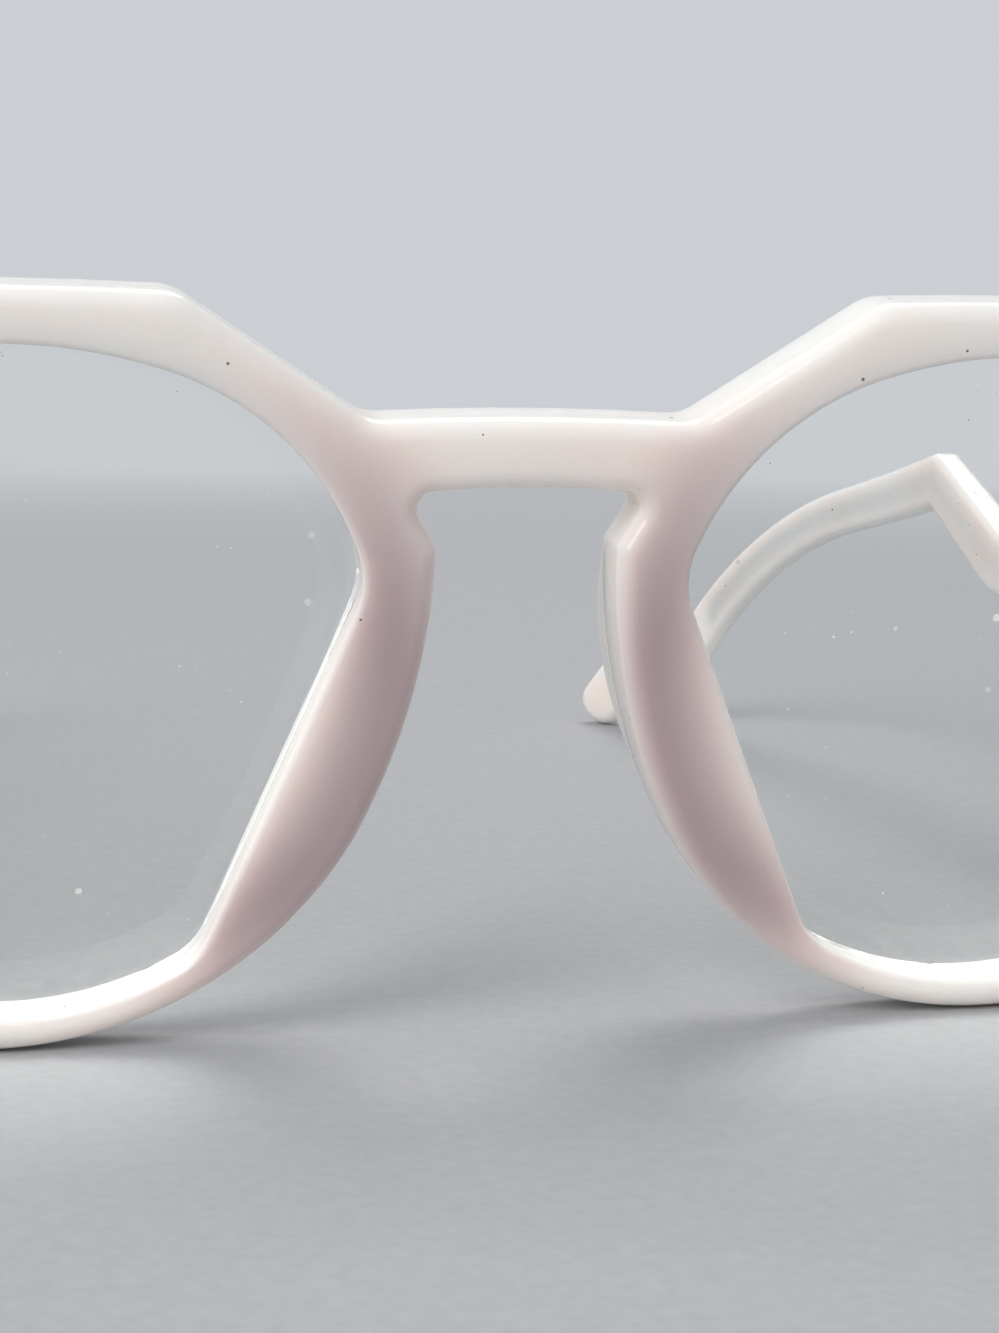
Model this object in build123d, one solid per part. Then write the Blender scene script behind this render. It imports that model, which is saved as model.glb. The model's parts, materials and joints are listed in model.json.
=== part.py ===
from build123d import *
import os
from math import atan2, cos, sin

# White acetate spectacles with geometric rims, clear lenses and stepped temples.
# Millimetres, +Z up, +X to the wearer's left, +Y from the front towards the temple tips.
# The part stands open on its rim bottoms and temple tips, and the middle of its bounding
# box is on the Z axis. The front, lenses and pads are drawn in the front's own plane
# (x across, z up) and then leaned forward together.

# ---------------------------------------------------------------- driving sizes: front
FRONT_THICK = 4.8            # acetate sheet that the front is milled from
PANTO = 7.5                  # lean of the front, top away from the face, degrees
LENS_X = 34.5                # middle of each lens from the symmetry line
BRIDGE_TOP = 43.6            # heights above the datum line, which runs just under the rims
BRIDGE_UNDER = 38.87
RIM_BOTTOM = 0.33
BAR_TOP = 51.5               # ends of the top bar, which rises a little to RIM_TOP
RIM_TOP = 51.7
BAR_HALF = 10.9              # half of the top bar
NOTCH = (6.2, 34.8)          # where the nose opening starts to widen towards the pads
NASAL_RADIUS = 44.6          # nasal side of each rim
NASAL_JOIN = (11.05, 14.7)   # where it runs into the round bottom of the rim
BOTTOM_X = 34.9
ARCH_CORNER = (8.3, 38.4)    # the bridge bows a little, above and below
BRIDGE_END = (11.0, 43.3)
TEMPORAL_SLOPE = (58.8, 43.5)
ENDPIECE_X = 66.0
ENDPIECE_TOP = 34.4
ENDPIECE_FOOT = 25.0
TEMPORAL_WAIST = (60.4, 25.0)
TEMPORAL_LOW = (51.6, 5.6)
OUTLINE_CORNERS = (          # corner, rounding radius
    (BRIDGE_END, 3.0),
    ((LENS_X - BAR_HALF, BAR_TOP), 3.5),
    ((LENS_X + BAR_HALF, BAR_TOP), 3.5),
    (TEMPORAL_SLOPE, 4.0),
    ((ENDPIECE_X, ENDPIECE_TOP), 1.5),
    ((ENDPIECE_X, ENDPIECE_FOOT), 1.5),
    (TEMPORAL_WAIST, 2.5),
    (TEMPORAL_LOW, 6.0),
    (NOTCH, 0.8),
    (ARCH_CORNER, 1.1),
)
OUTER_ROUND_FRONT = 1.25     # edge rounding of the sheet, face and back
OUTER_ROUND_BACK = 0.2
INNER_ROUND_FRONT = 0.45
INNER_ROUND_BACK = 0.5

# ---------------------------------------------------------------- driving sizes: lenses
OPENING_TOP = 48.1
OPENING_BOTTOM = 2.8
OPENING_SHOULDER = (11.0, 46.3)   # (out from the lens middle, height) where the top bends down
OPENING_BULGE = (17.6, 42.4)      # middle of the bowed upper side
OPENING_WIDEST = (23.7, 32.4)     # corner between upper side and straight lower side
OPENING_FOOT = (12.9, 6.6)
WIDEST_ROUND = 5.5
FOOT_ROUND = 4.5
LENS_MIDDLE_Z = 25.4
LENS_FRONT_RADIUS = 150.0    # surfaces of a weak minus lens, about -2 dioptres
LENS_BACK_RADIUS = 93.75
LENS_THICK = 1.7             # at its middle
LENS_VERTEX_Y = -2.35
LENS_PLAY = 0.05
BEVEL = 0.9                  # how far the lens edge stands into the rim groove
GROOVE_Y = 0.5               # groove plane behind the middle of the sheet

# ---------------------------------------------------------------- driving sizes: pads
PAD_TOP = (6.35, 34.3)       # ends of the pad's crescent footprint on the rim's back
PAD_FOOT = (18.3, 6.3)
PAD_NASAL = (8.6, 20.4)      # middle of its nasal side and of its outer side
PAD_OUTER = (12.7, 23.5)
PAD_DEPTH = 4.8              # how far the pads stand out behind the front in their middle
PAD_END = 1.0                # and at their ends
PAD_TAPER = 6.0
PAD_ROUND = 0.7

# ---------------------------------------------------------------- driving sizes: hinges
HINGE_X = 59.4
HINGE_Y = 8.4
HINGE_Z = 29.5
BARREL_RADIUS = 1.35
BARREL_HEIGHT = 1.4
BARRELS = 5                  # three on the front's leaf, two on the temple's
BARREL_GAP = 0.04
SCREW_RADIUS = 0.6
SCREW_CLEARANCE = 0.03
HEAD_RADIUS = 1.1
HEAD_HEIGHT = 0.6
SLOT_WIDTH = 0.3
LEAF_THICK = 0.9
LEAF_LENGTH = 7.0
LEAF_START = 1.5             # from the hinge axis to the leaf's edge
RIVET_RADIUS = 0.55
RIVET_HEAD = 0.95
RIVET_HEAD_HEIGHT = 0.35
RIVET_DEPTH = 2.0
RIVET_STEP = 1.9
INNER_FACE = HINGE_X + BARREL_RADIUS + 0.05
BUTT_GAP = 0.05              # half the gap between lug and temple when open
LUG_HEIGHT = 8.4
LUG_THICK = 5.0
LUG_START = -4.4
LUG_ROUND = 0.9

# ---------------------------------------------------------------- driving sizes: temples
# Side view: (y, z, height, rounding) at the butt end, dip, step, ear bend and tip.
TEMPLE_SIDE = (
    (HINGE_Y + BUTT_GAP, HINGE_Z, 8.2, 0),
    (52.2, 27.8, 6.3, 6.0),
    (67.6, 35.8, 5.6, 1.5),
    (105.5, 27.3, 4.9, 47.0),
    (125.5, 0.835, 5.3, 2.3),
)
# From above: (y, x, thickness) at the butt end, the end of the straight arm and the tip.
TEMPLE_PLAN = (
    (HINGE_Y + BUTT_GAP, INNER_FACE + LUG_THICK / 2, LUG_THICK),
    (66.0, 58.6, 3.4),
    (128.0, 38.2, 3.0),
)
TEMPLE_ROUND = 0.9
CORE_SIZE = (1.8, 1.2)       # flat stiffening wire inside each temple, height and thickness
CORE_RUN = (18.0, 114.0)


# ---------------------------------------------------------------- helpers
def near_corner(vertices, corner):
    """The vertices at a corner and at its mirror image."""
    x, z = corner
    return vertices.filter_by(lambda v: abs(abs(v.X) - x) < 0.2 and abs(v.Y - z) < 0.2)


def upright(sketch, x=0.0, y=0.0):
    """A flat outline stood up in the XZ plane."""
    return Pos(x, y, 0) * Rot(90, 0, 0) * sketch


def through(sketch, depth):
    """An upright outline made solid the same depth to both sides of its plane."""
    return extrude(sketch, depth, dir=(0, 1, 0)) + extrude(sketch, depth, dir=(0, -1, 0))


def leaned(part):
    """From the front's own plane to its place on the table."""
    return Rot(PANTO, 0, 0) * part


def mirrored(part):
    return mirror(part, Plane.YZ)


def block(x, y, z):
    """A box from its (low, high) pairs."""
    size = (x[1] - x[0], y[1] - y[0], z[1] - z[0])
    return Pos((x[0] + x[1]) / 2, (y[0] + y[1]) / 2, (z[0] + z[1]) / 2) * Box(*size)


# ---------------------------------------------------------------- front
def opening(grow=0.0):
    """A lens opening: bowed top and shoulders, straight lower sides and a bowed bottom."""
    (sx, sz), (bx, bz) = OPENING_SHOULDER, OPENING_BULGE
    (wx, wz), (fx, fz) = OPENING_WIDEST, OPENING_FOOT
    with BuildSketch() as sketch:
        with BuildLine():
            ThreePointArc((-sx, sz), (0, OPENING_TOP), (sx, sz))
            ThreePointArc((sx, sz), (bx, bz), (wx, wz))
            Line((wx, wz), (fx, fz))
            ThreePointArc((fx, fz), (0, OPENING_BOTTOM), (-fx, fz))
            Line((-fx, fz), (-wx, wz))
            ThreePointArc((-wx, wz), (-bx, bz), (-sx, sz))
        make_face()
        fillet(near_corner(sketch.vertices(), OPENING_WIDEST), WIDEST_ROUND)
        fillet(near_corner(sketch.vertices(), OPENING_FOOT), FOOT_ROUND)
        if grow:
            offset(amount=grow, kind=Kind.ARC)
    return sketch.sketch


def front_outline():
    """Outer outline of the whole front with its keyhole nose opening."""
    temporal = (
        (LENS_X + BAR_HALF, BAR_TOP),
        TEMPORAL_SLOPE,
        (ENDPIECE_X, ENDPIECE_TOP),
        (ENDPIECE_X, ENDPIECE_FOOT),
        TEMPORAL_WAIST,
        TEMPORAL_LOW,
    )
    with BuildSketch() as sketch:
        with BuildLine() as half:
            Line(BRIDGE_END, (LENS_X - BAR_HALF, BAR_TOP))
            ThreePointArc((LENS_X - BAR_HALF, BAR_TOP), (LENS_X, RIM_TOP), temporal[0])
            Polyline(*temporal)
            ThreePointArc(TEMPORAL_LOW, (BOTTOM_X, RIM_BOTTOM), NASAL_JOIN)
            RadiusArc(NASAL_JOIN, NOTCH, NASAL_RADIUS)
            Line(NOTCH, ARCH_CORNER)
            mirror(half.line, Plane.YZ)
            for (x, z), middle_z in ((BRIDGE_END, BRIDGE_TOP), (ARCH_CORNER, BRIDGE_UNDER)):
                ThreePointArc((-x, z), (0, middle_z), (x, z))
        make_face()
        for corner, radius in OUTLINE_CORNERS:
            fillet(near_corner(sketch.vertices(), corner), radius)
    return sketch.sketch


def front_sheet():
    """The milled sheet: outline, both openings and softly rounded edges."""
    sheet = through(upright(front_outline()), FRONT_THICK / 2)
    for side in (-1, 1):
        sheet -= through(upright(opening(), side * LENS_X), FRONT_THICK)
    face = sheet.faces().sort_by(Axis.Y)[0]
    sheet = fillet(face.outer_wire().edges(), OUTER_ROUND_FRONT)
    face = sheet.faces().sort_by(Axis.Y)[0]
    sheet = fillet([e for w in face.inner_wires() for e in w.edges()], INNER_ROUND_FRONT)
    back = sheet.faces().sort_by(Axis.Y)[-1]
    sheet = fillet(back.outer_wire().edges(), OUTER_ROUND_BACK)
    back = sheet.faces().sort_by(Axis.Y)[-1]
    return fillet([e for w in back.inner_wires() for e in w.edges()], INNER_ROUND_BACK)


def lens_bevel():
    """The V-shaped edge that stands in the rim groove."""
    edge = upright(opening(BEVEL), LENS_X, GROOVE_Y)
    depth = BEVEL + LENS_PLAY
    halves = [extrude(edge, depth, dir=(0, side, 0), taper=45) for side in (-1, 1)]
    return halves[0] + halves[1]


def lens():
    """A meniscus lens cut to the opening, with its bevel."""
    middle = Pos(LENS_X, 0, LENS_MIDDLE_Z)
    convex = middle * Pos(0, LENS_VERTEX_Y + LENS_FRONT_RADIUS, 0) * Sphere(LENS_FRONT_RADIUS)
    concave = middle * Pos(0, LENS_VERTEX_Y + LENS_THICK + LENS_BACK_RADIUS, 0) * Sphere(LENS_BACK_RADIUS)
    body = through(upright(opening(-LENS_PLAY), LENS_X), FRONT_THICK) + lens_bevel()
    return (body & convex) - concave


def nose_pad():
    """A built-up acetate pad glued behind the nasal side of the rim, swelling from its ends."""
    back = FRONT_THICK / 2
    top, foot = PAD_TOP[1] + PAD_ROUND, PAD_FOOT[1] - PAD_ROUND
    with BuildSketch() as crescent:
        with BuildLine():
            ThreePointArc(PAD_TOP, PAD_NASAL, PAD_FOOT)
            ThreePointArc(PAD_FOOT, PAD_OUTER, PAD_TOP)
        make_face()
    with BuildSketch() as swell:
        with BuildLine():
            ThreePointArc((back + PAD_END, top), (back + PAD_DEPTH, PAD_NASAL[1]), (back + PAD_END, foot))
            Polyline((back + PAD_END, foot), (back, foot), (back, top), (back + PAD_END, top))
        make_face()
    blank = extrude(upright(crescent.sketch, 0, back), PAD_DEPTH + 1, dir=(0, 1, 0), taper=PAD_TAPER)
    pad = blank & extrude(Plane.YZ * swell.sketch, 2 * PAD_FOOT[0])
    return fillet(pad.faces().sort_by(Axis.Y)[-1].edges(), PAD_ROUND)


def lug():
    """The end piece, turned back behind the front to carry the hinge."""
    half = LUG_HEIGHT / 2
    bar = block(
        (INNER_FACE, INNER_FACE + LUG_THICK),
        (LUG_START, HINGE_Y - BUTT_GAP),
        (HINGE_Z - half, HINGE_Z + half),
    )
    return fillet(bar.edges().filter_by(Axis.Y), LUG_ROUND)


# ---------------------------------------------------------------- hinge
def barrels(first, radius):
    """Every second barrel of the hinge, bored for the screw."""
    bottom = HINGE_Z - BARRELS * BARREL_HEIGHT / 2
    stack = Part()
    for i in range(first, BARRELS, 2):
        low = bottom + i * BARREL_HEIGHT + BARREL_GAP
        height = BARREL_HEIGHT - 2 * BARREL_GAP
        barrel = Cylinder(BARREL_RADIUS, height, align=(Align.CENTER, Align.CENTER, Align.MIN))
        reach = (LEAF_START + 0.2) * (1 if first else -1)
        web = block((0, BARREL_RADIUS), sorted((0, reach)), (0, height))
        stack += Pos(HINGE_X, HINGE_Y, low) * (barrel + web)
    bore = Pos(HINGE_X, HINGE_Y, HINGE_Z) * Cylinder(radius, BARRELS * BARREL_HEIGHT + 1)
    return stack - bore


def leaf(direction):
    """The flat plate of one hinge half, in front of or behind the axis."""
    near = HINGE_Y + direction * LEAF_START
    far = near + direction * LEAF_LENGTH
    half = BARRELS * BARREL_HEIGHT / 2 - BARREL_GAP
    depth = (INNER_FACE - LEAF_THICK, INNER_FACE)
    plate = block(depth, sorted((near, far)), (HINGE_Z - half, HINGE_Z + half))
    outer = plate.edges().filter_by(Axis.X).sort_by(lambda e: -direction * e.center().Y)[0:2]
    return fillet(outer, 1.5)


def rivets(direction):
    """Two rivets through a hinge leaf into the acetate."""
    y = HINGE_Y + direction * (LEAF_START + LEAF_LENGTH / 2 + 0.5)
    group = Part()
    for step in (-RIVET_STEP, RIVET_STEP):
        pin = Cylinder(RIVET_RADIUS, LEAF_THICK + RIVET_DEPTH, align=(Align.CENTER, Align.CENTER, Align.MIN))
        head = Cylinder(RIVET_HEAD, RIVET_HEAD_HEIGHT, align=(Align.CENTER, Align.CENTER, Align.MAX))
        head = fillet(head.edges().sort_by(Axis.Z)[0], 0.2)
        group += Pos(INNER_FACE - LEAF_THICK, y, HINGE_Z + step) * Rot(0, 90, 0) * (pin + head)
    return group


def screw():
    """The hinge screw, put in from above, with its slotted head."""
    top = HINGE_Z + BARRELS * BARREL_HEIGHT / 2 - BARREL_GAP
    length = BARRELS * BARREL_HEIGHT
    shank = Pos(0, 0, top) * Cylinder(SCREW_RADIUS, length, align=(Align.CENTER, Align.CENTER, Align.MAX))
    head = Pos(0, 0, top) * Cylinder(HEAD_RADIUS, HEAD_HEIGHT, align=(Align.CENTER, Align.CENTER, Align.MIN))
    head = fillet(head.edges().sort_by(Axis.Z)[-1], 0.25)
    slot = Pos(0, 0, top + HEAD_HEIGHT) * Rot(0, 0, 35) * Box(3 * HEAD_RADIUS, SLOT_WIDTH, HEAD_HEIGHT)
    return Pos(HINGE_X, HINGE_Y, 0) * (shank + head - slot)


# ---------------------------------------------------------------- temples
def side_strip(height=None):
    """The temple's side view as a flat face: a bent strip along its line."""
    upper, lower = [], []
    last = len(TEMPLE_SIDE) - 1
    for i, (y, z, tall, radius) in enumerate(TEMPLE_SIDE):
        before = TEMPLE_SIDE[i - 1] if i else TEMPLE_SIDE[1]
        after = TEMPLE_SIDE[i + 1] if i < last else TEMPLE_SIDE[last - 1]
        arriving = atan2(z - before[1], y - before[0]) if i else atan2(after[1] - z, after[0] - y)
        leaving = atan2(after[1] - z, after[0] - y) if i < last else arriving
        across = (arriving + leaving) / 2
        half = (height or tall) / 2 / cos((leaving - arriving) / 2)
        upper.append((y - half * sin(across), z + half * cos(across)))
        lower.append((y + half * sin(across), z - half * cos(across)))
    outline = upper + lower[::-1]
    with BuildSketch() as sketch:
        with BuildLine():
            Polyline(*outline, close=True)
        make_face()
        for i in range(1, last + 1):
            radius = TEMPLE_SIDE[i][3]
            half = (height or TEMPLE_SIDE[i][2]) / 2
            rising = i < last and TEMPLE_SIDE[i][1] < TEMPLE_SIDE[i + 1][1]
            for point, outer in ((upper[i], not rising), (lower[i], rising)):
                corner = sketch.vertices().sort_by_distance(point)[0]
                grow = half if outer else -half
                fillet(corner, radius + grow if radius > 5 else min(radius, half * 0.9))
    return Plane.YZ * sketch.sketch


def plan_strip(thickness=None):
    """The temple from above: a straight arm, then a curve inwards to the tip."""
    sides = []
    for sign in (-1, 1):
        sides.append([(x + sign * (thickness or t) / 2, y) for y, x, t in TEMPLE_PLAN])
    inner, outer = sides
    with BuildSketch() as sketch:
        with BuildLine():
            a = Line(inner[0], inner[1])
            TangentArc(inner[1], inner[2], tangent=a % 1)
            b = Line(outer[0], outer[1])
            TangentArc(outer[1], outer[2], tangent=b % 1)
            Line(inner[0], outer[0])
            Line(inner[2], outer[2])
        make_face()
    return sketch.sketch


def temple_blank(height=None, thickness=None):
    side = extrude(side_strip(height), 80, dir=(1, 0, 0))
    return side & extrude(plan_strip(thickness), 60, dir=(0, 0, 1), both=True)


def temple_core():
    cut = block((0, 80), CORE_RUN, (-5, 60))
    return temple_blank(*CORE_SIZE) & cut


def temple_body():
    body = temple_blank()
    butt = HINGE_Y + BUTT_GAP
    along = body.edges().filter_by(lambda e: e.length > 3.5 and e.center().Y > butt + 1)
    return fillet(along, TEMPLE_ROUND)


# ---------------------------------------------------------------- assembly
def build():
    sheet = front_sheet()
    bevel = lens_bevel()
    sheet = sheet - bevel - mirrored(bevel)
    front = leaned(sheet)
    front_pins = rivets(-1)
    for turn in (lambda p: p, mirrored):
        front = (front + turn(lug())) - turn(front_pins)
    front_leaf = leaf(-1) + barrels(0, SCREW_RADIUS) - front_pins
    temple_pins = rivets(1)
    temple_leaf = leaf(1) + barrels(1, SCREW_RADIUS + SCREW_CLEARANCE) - temple_pins
    core = temple_core()
    temple = temple_body() - leaf(1) - core - temple_pins
    sided = {
        "lens": leaned(lens()),
        "nose_pad": leaned(nose_pad()),
        "front_hinge": front_leaf,
        "front_hinge_rivets": front_pins,
        "hinge_screw": screw(),
        "temple": temple,
        "temple_core": core,
        "temple_hinge": temple_leaf,
        "temple_hinge_rivets": temple_pins,
    }
    nodes = {"front_frame": front}
    for name, part in sided.items():
        nodes[name + "_left"] = part
        nodes[name + "_right"] = mirrored(part)
    return nodes


nodes = build()
frame_box = nodes["front_frame"].bounding_box()
temple_box = nodes["temple_left"].bounding_box()
middle = (frame_box.min.Y + temple_box.max.Y) / 2
print("lowest point of front and tips", frame_box.min.Z, temple_box.min.Z)
print("hinge axis", HINGE_X, HINGE_Y - middle, HINGE_Z - frame_box.min.Z)
os.makedirs("parts", exist_ok=True)
for name, part in nodes.items():
    placed = Pos(0, -middle, -frame_box.min.Z) * part
    export_step(placed, f"parts/{name}.step")
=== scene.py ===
import json
from math import cos, radians, sin

import bpy
from mathutils import Matrix, Vector


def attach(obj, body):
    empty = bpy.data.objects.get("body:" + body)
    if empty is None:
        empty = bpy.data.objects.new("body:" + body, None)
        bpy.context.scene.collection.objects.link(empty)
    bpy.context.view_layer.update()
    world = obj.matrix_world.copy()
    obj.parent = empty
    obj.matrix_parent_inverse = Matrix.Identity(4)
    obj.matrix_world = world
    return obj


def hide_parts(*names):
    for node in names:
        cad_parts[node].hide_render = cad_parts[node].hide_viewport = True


# ---------------------------------------------------------------- the model as packed
# White acetate spectacles standing open: a milled front with clear lenses and glued pads,
# two riveted hinges, and two stepped temples with a wire core.
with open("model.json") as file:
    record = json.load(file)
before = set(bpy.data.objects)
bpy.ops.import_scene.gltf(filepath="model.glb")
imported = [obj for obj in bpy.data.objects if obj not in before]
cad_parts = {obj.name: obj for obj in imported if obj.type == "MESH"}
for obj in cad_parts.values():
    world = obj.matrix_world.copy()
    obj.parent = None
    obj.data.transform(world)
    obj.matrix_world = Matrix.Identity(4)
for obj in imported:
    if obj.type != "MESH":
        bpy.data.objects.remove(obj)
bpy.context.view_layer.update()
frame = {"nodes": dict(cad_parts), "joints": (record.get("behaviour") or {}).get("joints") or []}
nodes = frame["nodes"]
SIDES = ("left", "right")

# ---------------------------------------------------------------- front
# The front is milled from a sheet of white cellulose acetate and tumbled to a gloss.
# The sheet is slightly milky with blush clouds; painted shade darkens the nasal side of each rim, and
# its walls and rounded edges are painted whiter as painted light.
MILK = (0.95, 0.895, 0.845, 1)
BLUSH = (0.92, 0.81, 0.765, 1)
# painted shade: the darker tone laid on the nasal side of each rim
PAINTED_SHADE = (0.50, 0.395, 0.405, 1)
SPECK = (0.22, 0.15, 0.13, 1)
GLOSS_ROUGHNESS = (0.13, 0.24)
CLOUD_SCALE = 75.0
MOTTLE_SCALE = 1400.0
SPECK_SCALE = 420.0
SPECK_SIZE = 0.045
SPECK_SHARE = 0.6
TUMBLE_SCALE = 420.0
WAVE_SCALE = 168.0                   # of the slow waviness that tumbling leaves in the gloss
WAVE_SHARE = 0.8                     # of the waves in the relief; the rest is fine grit
RELIEF_DEPTH = 0.00008
BLUSH_SHARE = (0.3, 0.9)             # least and most blush in the clouds
MOTTLE_SHARE = (-0.1, 0.1)
CLOUD_SPREAD = (0.3, 0.7)            # values between which a cloud runs from low to high
RING_MIDDLE = (0.0318, 0.0, 0.0270)  # the painted shade runs along an arc round here,
RING_RADIUS = 0.0230                 # on the nasal side of each rim
RING_WIDTH = 0.0072
ANY_DEPTH = 1000.0                   # a reach along Y that makes a mask run through the sheet
RING_REACH = (1.0, ANY_DEPTH, 1.0)
SHADE_PLACE = (0.0115, 0.0, 0.0190)   # and is strongest here, where the pad behind keeps light out
SHADE_REACH = (0.0270, ANY_DEPTH, 0.0320)
SHADE_CORE = 0.25                     # share of that reach where it stays at its strongest
LEAN = radians(7.5)                  # of the front, top away from the face
FLAT_FACES = (0.2, 1.0)              # how squarely a spot faces forward, from rounded to flat
LIT_EDGE_BLUSH = 0.3                      # share of the blush left on walls and rounded edges, which are painted whiter as painted light
ACETATE_IOR = 1.48
GLOW_SHARE = 0.85
GLOW_DEPTH = 0.0045
GLOW_COLOURS = (1.0, 0.80, 0.74)


def value_range(tree, value, low, high, to_low=0.0, to_high=1.0, smooth=False):
    """Remaps a value from one range to another."""
    node = tree.nodes.new("ShaderNodeMapRange")
    node.interpolation_type = "SMOOTHSTEP" if smooth else "LINEAR"
    ends = (("From Min", low), ("From Max", high), ("To Min", to_low), ("To Max", to_high))
    for name, number in ends:
        node.inputs[name].default_value = number
    tree.links.new(value, node.inputs["Value"])
    return node.outputs["Result"]


def arithmetic(tree, operation, first, second):
    """One arithmetic step between a value and a value or a number."""
    node = tree.nodes.new("ShaderNodeMath")
    node.operation = operation
    node.use_clamp = operation in ("MULTIPLY", "MAXIMUM")
    for socket, given in zip(node.inputs, (first, second)):
        if isinstance(given, (int, float)):
            socket.default_value = given
        else:
            tree.links.new(given, socket)
    return node.outputs[0]


def colour_mix(tree, share, first, second):
    """One colour over another by a mask."""
    node = tree.nodes.new("ShaderNodeMix")
    node.data_type = "RGBA"
    tree.links.new(share, node.inputs["Factor"])
    for socket, given in ((node.inputs[6], first), (node.inputs[7], second)):
        if isinstance(given, tuple):
            socket.default_value = given
        else:
            tree.links.new(given, socket)
    return node.outputs[2]


def cloud(tree, where, scale, detail=3.0, roughness=0.5, stretch=None):
    """Soft random variation at a scale, in a direction if stretched."""
    if stretch:
        mapping = tree.nodes.new("ShaderNodeMapping")
        mapping.inputs["Scale"].default_value = stretch
        tree.links.new(where, mapping.inputs["Vector"])
        where = mapping.outputs["Vector"]
    node = tree.nodes.new("ShaderNodeTexNoise")
    node.inputs["Scale"].default_value = scale
    node.inputs["Detail"].default_value = detail
    node.inputs["Roughness"].default_value = roughness
    tree.links.new(where, node.inputs["Vector"])
    return node.outputs["Fac"]


def specks(tree, where, scale, size, share):
    """Small round dots, one in some of the cells of an even scatter."""
    cells = tree.nodes.new("ShaderNodeTexVoronoi")
    cells.inputs["Scale"].default_value = scale
    tree.links.new(where, cells.inputs["Vector"])
    pick = tree.nodes.new("ShaderNodeSeparateColor")
    tree.links.new(cells.outputs["Color"], pick.inputs["Color"])
    reach = value_range(tree, pick.outputs["Green"], 0, 1, size * 0.4, size * 1.4)
    dot = arithmetic(tree, "LESS_THAN", cells.outputs["Distance"], reach)
    chosen = arithmetic(tree, "LESS_THAN", pick.outputs["Red"], share)
    return arithmetic(tree, "MULTIPLY", dot, chosen)


def group_tree(name, inputs, outputs):
    """An empty shader node group: its tree, its given values, its results, Object coordinates."""
    tree = bpy.data.node_groups.new(name, "ShaderNodeTree")
    for socket, kind in inputs:
        tree.interface.new_socket(socket, in_out="INPUT", socket_type=kind)
    for socket, kind in outputs:
        tree.interface.new_socket(socket, in_out="OUTPUT", socket_type=kind)
    given = tree.nodes.new("NodeGroupInput")
    out = tree.nodes.new("NodeGroupOutput")
    where = tree.nodes.new("ShaderNodeTexCoord").outputs["Object"]
    return tree, given.outputs, out.inputs, where


def distance_from(tree, where, place, reach):
    """How far a spot is from a place, measured in its own reach along each axis."""
    centred = tree.nodes.new("ShaderNodeMapping")
    centred.vector_type = "TEXTURE"
    centred.inputs["Location"].default_value = place
    centred.inputs["Scale"].default_value = reach
    tree.links.new(where, centred.inputs["Vector"])
    length = tree.nodes.new("ShaderNodeVectorMath")
    length.operation = "LENGTH"
    tree.links.new(centred.outputs["Vector"], length.inputs[0])
    return length.outputs["Value"]


def painted_shade_mask(tree, where):
    """A soft mask of painted shade along the nasal side of each rim, where the pads behind keep light
    out, alike on both sides.
    """
    folded = tree.nodes.new("ShaderNodeVectorMath")
    folded.operation = "ABSOLUTE"
    tree.links.new(where, folded.inputs[0])
    spot = folded.outputs["Vector"]
    from_middle = distance_from(tree, spot, RING_MIDDLE, RING_REACH)
    off_ring = arithmetic(tree, "ABSOLUTE", arithmetic(tree, "SUBTRACT", from_middle, RING_RADIUS), 0)
    ring = value_range(tree, off_ring, RING_WIDTH, 0.0, smooth=True)
    from_place = distance_from(tree, spot, SHADE_PLACE, SHADE_REACH)
    near = value_range(tree, from_place, 1.0, SHADE_CORE, smooth=True)
    return arithmetic(tree, "MULTIPLY", ring, near)


def flatness(tree, facing):
    """A mask that is 1 on the sheet's two flat faces and low on its walls and rounded edges, so that
    those are painted whiter, as painted light.
    """
    square = tree.nodes.new("ShaderNodeVectorMath")
    square.operation = "DOT_PRODUCT"
    tree.links.new(facing, square.inputs[1])
    tree.links.new(tree.nodes.new("ShaderNodeTexCoord").outputs["Normal"], square.inputs[0])
    either_way = arithmetic(tree, "ABSOLUTE", square.outputs["Value"], 0)
    return value_range(tree, either_way, *FLAT_FACES, LIT_EDGE_BLUSH, 1.0)


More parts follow.
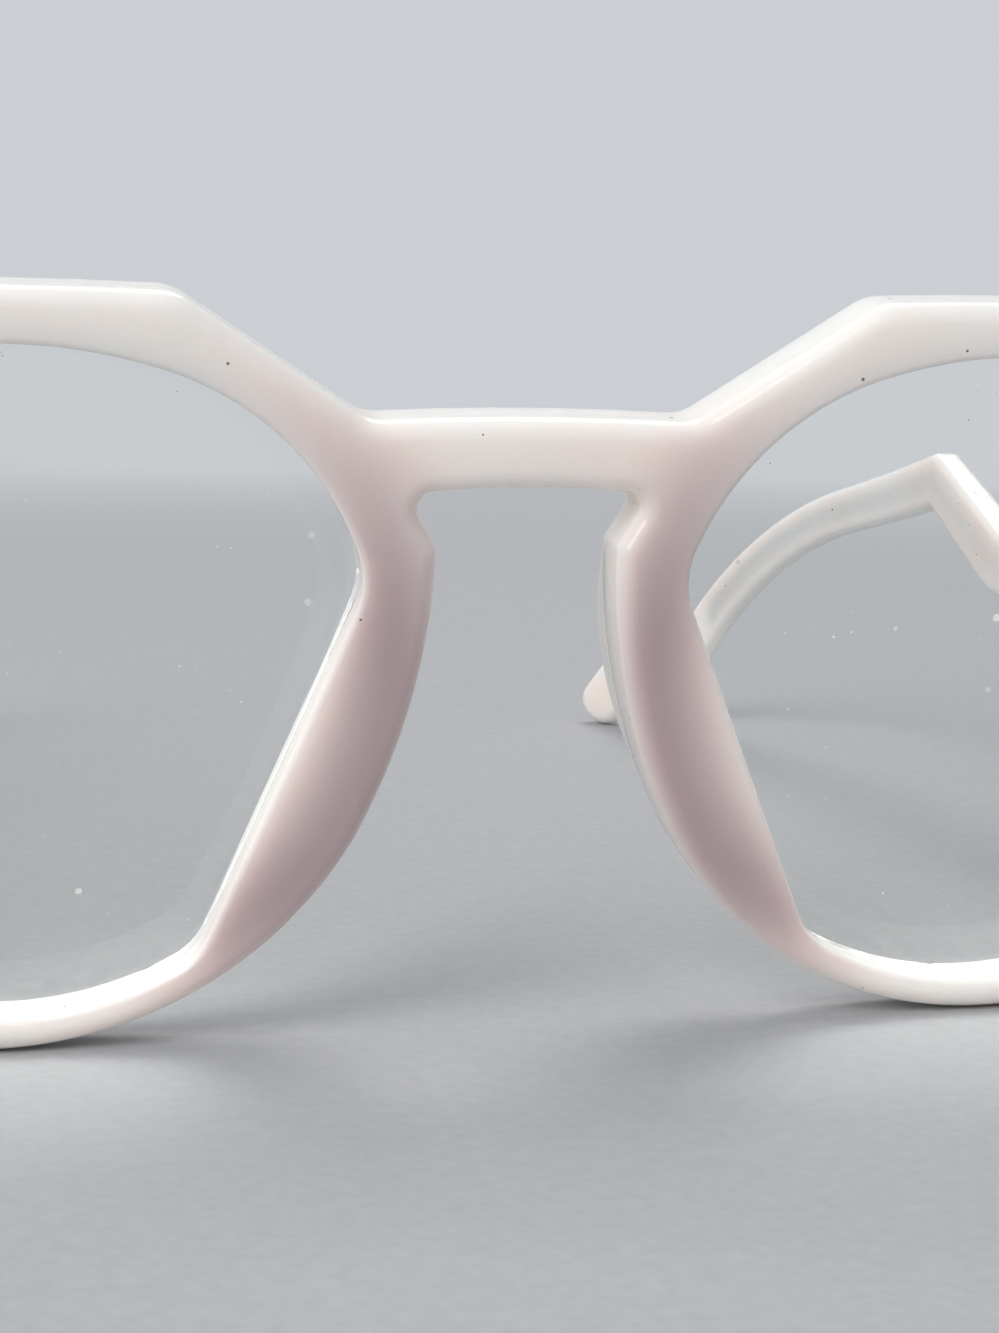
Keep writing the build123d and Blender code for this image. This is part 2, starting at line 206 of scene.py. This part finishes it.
def acetate_group():
    """Cast white acetate: blush clouds, painted shade on the nasal rims, walls and edges painted
    whiter as painted light, mottle and rare specks.
    """
    tree, given, out, where = group_tree(
        "acetate_sheet",
        (("Milk", "NodeSocketColor"), ("Blush", "NodeSocketColor"), ("PaintedShade", "NodeSocketColor"),
         ("Speck", "NodeSocketColor"), ("Facing", "NodeSocketVector")),
        (("Colour", "NodeSocketColor"), ("Roughness", "NodeSocketFloat"),
         ("Height", "NodeSocketFloat")),
    )
    broad = cloud(tree, where, CLOUD_SCALE)
    fine = cloud(tree, where, MOTTLE_SCALE, detail=2.0)
    flat = flatness(tree, given["Facing"])
    share = arithmetic(tree, "ADD", value_range(tree, broad, *CLOUD_SPREAD, *BLUSH_SHARE),
                       value_range(tree, fine, *CLOUD_SPREAD, *MOTTLE_SHARE))
    # walls and rounded edges lose their blush: painted light, whiter where light catches the edges
    share = arithmetic(tree, "MULTIPLY", share, flat)
    body = colour_mix(tree, share, given["Milk"], given["Blush"])
    # painted shade on the nasal side of each rim, on the flat faces only
    painted_shade = arithmetic(tree, "MULTIPLY", painted_shade_mask(tree, where), flat)
    body = colour_mix(tree, painted_shade, body, given["PaintedShade"])
    dirt = specks(tree, where, SPECK_SCALE, SPECK_SIZE, SPECK_SHARE)
    tree.links.new(colour_mix(tree, dirt, body, given["Speck"]), out["Colour"])
    haze = cloud(tree, where, TUMBLE_SCALE, detail=4.0, roughness=0.6)
    tree.links.new(value_range(tree, haze, *CLOUD_SPREAD, *GLOSS_ROUGHNESS), out["Roughness"])
    wave = arithmetic(tree, "MULTIPLY", cloud(tree, where, WAVE_SCALE, detail=1.0), WAVE_SHARE)
    grit = arithmetic(tree, "MULTIPLY", fine, 1 - WAVE_SHARE)
    tree.links.new(arithmetic(tree, "ADD", wave, grit), out["Height"])
    return tree


def shader(name):
    """A new material with its tree and its Principled shader."""
    material = bpy.data.materials.new(name)
    material.use_nodes = True
    return material, material.node_tree, material.node_tree.nodes["Principled BSDF"]


def place_group(tree, group, colours=()):
    """A node group in a material, with that material's own colours."""
    node = tree.nodes.new("ShaderNodeGroup")
    node.node_tree = group
    for socket, colour in colours:
        node.inputs[socket].default_value = colour
    return node.outputs


def relief(tree, principled, height, strength, distance):
    """Turns a height into a bump on the shader's normal."""
    bump = tree.nodes.new("ShaderNodeBump")
    bump.inputs["Strength"].default_value = strength
    bump.inputs["Distance"].default_value = distance
    tree.links.new(height, bump.inputs["Height"])
    tree.links.new(bump.outputs["Normal"], principled.inputs["Normal"])


def wear(node_name, material):
    """Gives a CAD node its material."""
    slots = nodes[node_name].data.materials
    slots.clear()
    slots.append(material)


ACETATE = acetate_group()


def acetate(name, blush, painted_shade, facing):
    """White acetate for one kind of part, with light glowing a little way into it."""
    material, tree, principled = shader(name)
    tones = (("Milk", MILK), ("Blush", blush), ("PaintedShade", painted_shade), ("Speck", SPECK),
             ("Facing", facing))
    sheet = place_group(tree, ACETATE, tones)
    tree.links.new(sheet["Colour"], principled.inputs["Base Color"])
    tree.links.new(sheet["Roughness"], principled.inputs["Roughness"])
    relief(tree, principled, sheet["Height"], 0.25, RELIEF_DEPTH)
    principled.inputs["IOR"].default_value = ACETATE_IOR
    principled.inputs["Subsurface Weight"].default_value = GLOW_SHARE
    principled.inputs["Subsurface Radius"].default_value = GLOW_COLOURS
    principled.inputs["Subsurface Scale"].default_value = GLOW_DEPTH
    return material


FRONT_FACING = (0, cos(LEAN), sin(LEAN))
# only the front gets the painted shade; pads and temples are given blush in its place
front_acetate = acetate("front_acetate", BLUSH, PAINTED_SHADE, FRONT_FACING)
wear("front_frame", front_acetate)

# ---------------------------------------------------------------- lenses
# Clear uncoated plastic lenses, ground to the shape of the opening with a V edge that
# snaps into the rim groove. They are handled often: dusty, with wiping marks at the edge.
DUST_SCALE = 900.0
DUST_SIZE = 0.055
SMEAR_SCALE = 55.0
DUST_SHARE = 0.35
COARSE_DUST = (0.3, 0.25)      # scale against the fine dust, and share of its cells
LENS_ROUGHNESS = (0.0, 0.16)
LENS_IOR = 1.5
LENS_TINT = (0.97, 0.98, 0.975, 1)
POWDER = (0.78, 0.77, 0.75, 1)
SHADOW_TINT = (0.93, 0.94, 0.935, 1)
EDGE_TINT = (0.90, 0.91, 0.91, 1)
EDGE_CLEARNESS = 0.45
EDGE_ROUGHNESS = (0.35, 0.6)
EDGE_GRAIN = 2500.0
POLISHED_LIMIT = 0.93          # how squarely a polished face looks along the lens axis
EDGE_SHRINK = 0.00003          # play of the ground edge in the groove
MERGE_WITHIN = 0.00001
LENS_X = 0.0345                # middle of each lens in the front's own plane
LENS_MIDDLE_Z = 0.0254
HINGE_Y = 0.0084               # hinge axis from the origin of the front's own plane
HINGE_Z = 0.0295
FRONT_RADIUS = 0.150           # the two surfaces and the places of their middles
BACK_RADIUS = 0.09375
FRONT_MIDDLE_Y = -0.00235
BACK_MIDDLE_Y = -0.00065


def grime_group():
    """Masks for what lies on a lens: dust dots, and the haze of wiping marks near the rim."""
    tree, given, out, where = group_tree(
        "lens_grime", (), (("Dust", "NodeSocketFloat"), ("Smear", "NodeSocketFloat"))
    )
    coarser, fewer = COARSE_DUST
    small = specks(tree, where, DUST_SCALE, DUST_SIZE, DUST_SHARE)
    large = specks(tree, where, DUST_SCALE * coarser, DUST_SIZE, fewer)
    tree.links.new(arithmetic(tree, "MAXIMUM", small, large), out["Dust"])
    wiped = cloud(tree, where, SMEAR_SCALE, detail=6.0, roughness=0.62, stretch=(1.0, 1.0, 3.5))
    tree.links.new(value_range(tree, wiped, 0.5, 0.75, smooth=True), out["Smear"])
    return tree


def clear_lens():
    """The polished faces: clear plastic that lets lamps through, with dust and smears on it."""
    material, tree, principled = shader("lens_clear")
    grime = place_group(tree, grime_group())
    principled.inputs["Transmission Weight"].default_value = 1.0
    principled.inputs["IOR"].default_value = LENS_IOR
    principled.inputs["Base Color"].default_value = LENS_TINT
    rough = value_range(tree, grime["Smear"], 0, 1, *LENS_ROUGHNESS)
    tree.links.new(rough, principled.inputs["Roughness"])
    powder = tree.nodes.new("ShaderNodeBsdfPrincipled")
    powder.inputs["Base Color"].default_value = POWDER
    powder.inputs["Roughness"].default_value = 0.9
    dusty = tree.nodes.new("ShaderNodeMixShader")
    tree.links.new(grime["Dust"], dusty.inputs["Fac"])
    tree.links.new(principled.outputs["BSDF"], dusty.inputs[1])
    tree.links.new(powder.outputs["BSDF"], dusty.inputs[2])
    let_through(tree, dusty.outputs["Shader"])
    return material


def let_through(tree, surface):
    """Lets lamp light pass straight through the glass, so that it casts no black shadow."""
    rays = tree.nodes.new("ShaderNodeLightPath")
    pane = tree.nodes.new("ShaderNodeBsdfTransparent")
    pane.inputs["Color"].default_value = SHADOW_TINT
    split = tree.nodes.new("ShaderNodeMixShader")
    tree.links.new(rays.outputs["Is Shadow Ray"], split.inputs["Fac"])
    tree.links.new(surface, split.inputs[1])
    tree.links.new(pane.outputs["BSDF"], split.inputs[2])
    tree.links.new(split.outputs["Shader"], tree.nodes["Material Output"].inputs["Surface"])


def ground_edge():
    """The edge as the grinding wheel leaves it, frosted and whitish."""
    material, tree, principled = shader("lens_ground_edge")
    where = tree.nodes.new("ShaderNodeTexCoord").outputs["Object"]
    grain = cloud(tree, where, EDGE_GRAIN, detail=4.0)
    frosted = value_range(tree, grain, *CLOUD_SPREAD, *EDGE_ROUGHNESS)
    tree.links.new(frosted, principled.inputs["Roughness"])
    relief(tree, principled, grain, 0.4, 0.00005)
    principled.inputs["Transmission Weight"].default_value = EDGE_CLEARNESS
    principled.inputs["Base Color"].default_value = EDGE_TINT
    principled.inputs["IOR"].default_value = LENS_IOR
    let_through(tree, principled.outputs["BSDF"])
    return material


def in_front_plane(across, depth, height):
    """A point of the leaned front, given in the front's own plane."""
    hinge = frame["joints"][0]["pos_m"]
    origin = Vector((0, hinge[1] - HINGE_Y, hinge[2] - HINGE_Z))
    return origin + Matrix.Rotation(LEAN, 3, "X") @ Vector((across, depth, height))


def ease_edge(piece):
    """Draws the ground edge in a little, so that it doesn't rub in the groove."""
    bpy.ops.object.mode_set(mode="EDIT")
    bpy.ops.mesh.select_all(action="DESELECT")
    bpy.ops.object.mode_set(mode="OBJECT")
    for face in piece.data.polygons:
        face.select = face.material_index == 1
    bpy.ops.object.mode_set(mode="EDIT")
    bpy.ops.transform.shrink_fatten(value=-EDGE_SHRINK)
    bpy.ops.object.mode_set(mode="OBJECT")


def polish(piece, side_sign):
    """Turns the normals of both polished faces to those of true spheres."""
    middle_x = side_sign * LENS_X
    front_centre = in_front_plane(middle_x, FRONT_MIDDLE_Y + FRONT_RADIUS, LENS_MIDDLE_Z)
    back_centre = in_front_plane(middle_x, BACK_MIDDLE_Y + BACK_RADIUS, LENS_MIDDLE_Z)
    mesh = piece.data
    normals = [corner.vector.copy() for corner in mesh.corner_normals]
    for face in mesh.polygons:
        if face.material_index:
            continue
        faces_wearer = face.normal.dot(lens_axis) > 0
        for corner in face.loop_indices:
            spot = mesh.vertices[mesh.loops[corner].vertex_index].co
            outward = back_centre - spot if faces_wearer else spot - front_centre
            normals[corner] = outward.normalized()
    mesh.normals_split_custom_set(normals)


def cad_copy(name, piece_name):
    """A merged copy of a CAD node's mesh, for a piece that stands for it."""
    bpy.ops.object.select_all(action="DESELECT")
    source = nodes[name]
    piece = bpy.data.objects.new(piece_name, source.data.copy())
    piece.data.name = piece_name
    bpy.context.scene.collection.objects.link(piece)
    piece.select_set(True)
    bpy.context.view_layer.objects.active = piece
    bpy.ops.object.mode_set(mode="EDIT")
    bpy.ops.mesh.select_all(action="SELECT")
    bpy.ops.mesh.remove_doubles(threshold=MERGE_WITHIN)
    bpy.ops.object.mode_set(mode="OBJECT")
    piece.data.materials.clear()
    return piece


lens_glass = clear_lens()
lens_edge = ground_edge()
lens_axis = Vector((0, cos(LEAN), sin(LEAN)))
for side, side_sign in zip(SIDES, (1, -1)):
    lens = cad_copy(f"lens_{side}", f"clear_lens_{side}")
    lens.data.materials.append(lens_glass)
    lens.data.materials.append(lens_edge)
    for face in lens.data.polygons:
        face.material_index = 1 if abs(face.normal.dot(lens_axis)) < POLISHED_LIMIT else 0
    ease_edge(lens)
    bpy.ops.object.shade_smooth_by_angle(angle=radians(30))
    polish(lens, side_sign)
    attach(lens, "front")
    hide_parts(f"lens_{side}")

# ---------------------------------------------------------------- nose pads
# Built-up pads of the same acetate, glued behind the rims and polished with them.
pad_acetate = acetate("pad_acetate", BLUSH, BLUSH, FRONT_FACING)
for side in SIDES:
    wear(f"nose_pad_{side}", pad_acetate)

# ---------------------------------------------------------------- hinges
# Five-barrel hinges stamped from nickel silver, plated, with the mill's fine brushing left
# on the leaves. Each leaf is sunk into the acetate and held by two rivets.
NICKEL = (0.62, 0.60, 0.57, 1)
NICKEL_DULL = (0.42, 0.40, 0.37, 1)
RIVET_NICKEL = (0.70, 0.68, 0.65, 1)
TARNISH_SCALE = 420.0
TARNISH_SPREAD = (0.42, 0.72)
TARNISH_ROUGHNESS = (0.0, 0.14)     # what tarnish adds to the brushing's own
BRUSH_SCALE = 900.0
BRUSH_STRETCH = (1.0, 0.12, 6.0)
BRUSH_ROUGHNESS = (0.18, 0.34)
BRUSH_DEPTH = 0.00004


def metal_group():
    """Brushed metal: tarnish clouds, streaks along the part and a height for the brushing."""
    tree, given, out, where = group_tree(
        "brushed_metal",
        (("Bright", "NodeSocketColor"), ("Dull", "NodeSocketColor")),
        (("Colour", "NodeSocketColor"), ("Roughness", "NodeSocketFloat"),
         ("Height", "NodeSocketFloat")),
    )
    patches = cloud(tree, where, TARNISH_SCALE, detail=5.0)
    tarnish = value_range(tree, patches, *TARNISH_SPREAD, smooth=True)
    streaks = cloud(tree, where, BRUSH_SCALE, detail=3.0, stretch=BRUSH_STRETCH)
    tree.links.new(colour_mix(tree, tarnish, given["Bright"], given["Dull"]), out["Colour"])
    blurred = arithmetic(tree, "ADD", value_range(tree, streaks, *CLOUD_SPREAD, *BRUSH_ROUGHNESS),
                         value_range(tree, tarnish, 0, 1, *TARNISH_ROUGHNESS))
    tree.links.new(blurred, out["Roughness"])
    tree.links.new(streaks, out["Height"])
    return tree


METAL = metal_group()


def metal(name, bright, dull, strength):
    """A metal part's finish."""
    material, tree, principled = shader(name)
    brushed = place_group(tree, METAL, (("Bright", bright), ("Dull", dull)))
    tree.links.new(brushed["Colour"], principled.inputs["Base Color"])
    tree.links.new(brushed["Roughness"], principled.inputs["Roughness"])
    relief(tree, principled, brushed["Height"], strength, BRUSH_DEPTH)
    principled.inputs["Metallic"].default_value = 1.0
    return material


hinge_metal = metal("hinge_metal", NICKEL, NICKEL_DULL, 0.3)
rivet_metal = metal("rivet_metal", RIVET_NICKEL, NICKEL_DULL, 0.15)
for side in SIDES:
    wear(f"front_hinge_{side}", hinge_metal)
    wear(f"temple_hinge_{side}", hinge_metal)
    wear(f"front_hinge_rivets_{side}", rivet_metal)
    wear(f"temple_hinge_rivets_{side}", rivet_metal)

# ---------------------------------------------------------------- hinge screws
# One slotted stainless screw through the five barrels, turned in from above.
STEEL = (0.66, 0.67, 0.69, 1)
STEEL_DULL = (0.45, 0.45, 0.46, 1)
screw_metal = metal("screw_metal", STEEL, STEEL_DULL, 0.1)
for side in SIDES:
    wear(f"hinge_screw_{side}", screw_metal)

# ---------------------------------------------------------------- temples
# Cut from the same sheet with a step in the arm, bent to the ear and rounded all along.
# A flat nickel-silver wire is shot into each one, and the acetate closes round it.
ARM_BLUSH = (0.92, 0.72, 0.66, 1)
# with the arm's flat sides facing along X, its top and bottom edges are painted whiter as painted
# light
ARM_FACING = (1, 0, 0)
WIRE_NICKEL = (0.58, 0.56, 0.52, 1)
temple_acetate = acetate("temple_acetate", ARM_BLUSH, ARM_BLUSH, ARM_FACING)
core_wire = metal("core_wire", WIRE_NICKEL, NICKEL_DULL, 0.3)
for side in SIDES:
    wear(f"temple_{side}", temple_acetate)
    wear(f"temple_core_{side}", core_wire)

# ---------------------------------------------------------------- table and backdrop
# One wide sheet of pale studio paper under the spectacles. Far off it fades into the same
# even tone that stands behind it, so that its far edge never shows.
PAPER_RADIUS = 3.0
PAPER_COLOURS = ((0.395, 0.402, 0.413, 1), (0.43, 0.437, 0.449, 1))
PAPER_FIBRE = 900.0
PAPER_SUNK = 0.0002           # below the rims, which stand on it
PAPER_FADE = (0.22, 0.95)     # distances from the spectacles where the even tone starts and ends
BACKDROP = (0.60, 0.62, 0.65, 1)


def seen_rays(tree):
    """A mask that is 1 where the backdrop is looked at, straight or in metal or glass."""
    rays = tree.nodes.new("ShaderNodeLightPath").outputs
    straight = arithmetic(tree, "MAXIMUM", rays["Is Camera Ray"], rays["Is Glossy Ray"])
    return arithmetic(tree, "MAXIMUM", straight, rays["Is Transmission Ray"])


bpy.ops.object.select_all(action="DESELECT")
bpy.ops.mesh.primitive_circle_add(
    vertices=96, radius=PAPER_RADIUS, fill_type="NGON", location=(0, 0, -PAPER_SUNK)
)
bpy.ops.object.transform_apply(location=True)
paper = bpy.context.object
paper.name = "studio_paper"
paper_white, tree, principled = shader("studio_paper")
where = tree.nodes.new("ShaderNodeTexCoord").outputs["Object"]
fibre = cloud(tree, where, PAPER_FIBRE, detail=5.0)
tone = colour_mix(tree, value_range(tree, fibre, *CLOUD_SPREAD), *PAPER_COLOURS)
tree.links.new(tone, principled.inputs["Base Color"])
principled.inputs["Roughness"].default_value = 0.85
relief(tree, principled, fibre, 0.1, 0.0001)
distance = tree.nodes.new("ShaderNodeVectorMath")
distance.operation = "LENGTH"
tree.links.new(where, distance.inputs[0])
far = value_range(tree, distance.outputs["Value"], *PAPER_FADE, smooth=True)
even = tree.nodes.new("ShaderNodeEmission")
even.inputs["Color"].default_value = BACKDROP
faded = tree.nodes.new("ShaderNodeMixShader")
tree.links.new(arithmetic(tree, "MULTIPLY", far, seen_rays(tree)), faded.inputs["Fac"])
tree.links.new(principled.outputs["BSDF"], faded.inputs[1])
tree.links.new(even.outputs["Emission"], faded.inputs[2])
tree.links.new(faded.outputs["Shader"], tree.nodes["Material Output"].inputs["Surface"])
paper.data.materials.append(paper_white)

# ---------------------------------------------------------------- light
# A lamp above and behind that shines through the acetate, a soft one in front, an even sky.
SKY_COLOUR = (0.84, 0.89, 0.96, 1)
SKY_STRENGTH = 0.42

world = bpy.data.worlds.new("even_sky")
bpy.context.scene.world = world
world.use_nodes = True
tree = world.node_tree
sky = tree.nodes["Background"]
sky.inputs["Color"].default_value = SKY_COLOUR
sky.inputs["Strength"].default_value = SKY_STRENGTH
backdrop = tree.nodes.new("ShaderNodeBackground")
backdrop.inputs["Color"].default_value = BACKDROP
either = tree.nodes.new("ShaderNodeMixShader")
tree.links.new(seen_rays(tree), either.inputs["Fac"])
tree.links.new(sky.outputs["Background"], either.inputs[1])
tree.links.new(backdrop.outputs["Background"], either.inputs[2])
tree.links.new(either.outputs["Shader"], tree.nodes["World Output"].inputs["Surface"])


def lamp(name, place, aim, size, power, colour):
    """A soft square lamp at a place, turned towards a point."""
    light = bpy.data.lights.new(name, "AREA")
    light.size = size
    light.energy = power
    light.color = colour
    holder = bpy.data.objects.new(name, light)
    bpy.context.scene.collection.objects.link(holder)
    holder.location = place
    holder.rotation_euler = (Vector(aim) - Vector(place)).to_track_quat("-Z", "Y").to_euler()


lamp("back_light", (0.20, 0.42, 0.90), (0, -0.05, 0.02), 0.45, 4.2, (1.0, 0.98, 0.95))
lamp("front_light", (-0.75, -0.75, 0.75), (0, -0.05, 0.03), 0.8, 11.5, (1.0, 0.985, 0.97))

# ---------------------------------------------------------------- camera
# Close in front of the bridge, a little to the wearer's right, looking slightly down.
CAMERA_PLACE = (-0.03961, -0.23286, 0.05103)
CAMERA_YAW = radians(12.68)
CAMERA_PITCH = radians(8.21)
CAMERA_ROLL = radians(1.03)
CAMERA_LENS = 70.2

camera_data = bpy.data.cameras.new("camera")
camera = bpy.data.objects.new("camera", camera_data)
bpy.context.scene.collection.objects.link(camera)
flat_ahead = Vector((sin(CAMERA_YAW), cos(CAMERA_YAW), 0))
ahead = cos(CAMERA_PITCH) * flat_ahead - sin(CAMERA_PITCH) * Vector((0, 0, 1))
level = Vector((cos(CAMERA_YAW), -sin(CAMERA_YAW), 0))
raised = level.cross(ahead)
across = cos(CAMERA_ROLL) * level + sin(CAMERA_ROLL) * raised
upward = cos(CAMERA_ROLL) * raised - sin(CAMERA_ROLL) * level
turned = Matrix((across, upward, -ahead)).transposed().to_4x4()
camera.matrix_world = Matrix.Translation(CAMERA_PLACE) @ turned
camera_data.lens = CAMERA_LENS
camera_data.clip_start = 0.005
bpy.context.scene.camera = camera
bpy.context.scene.view_settings.view_transform = "Standard"
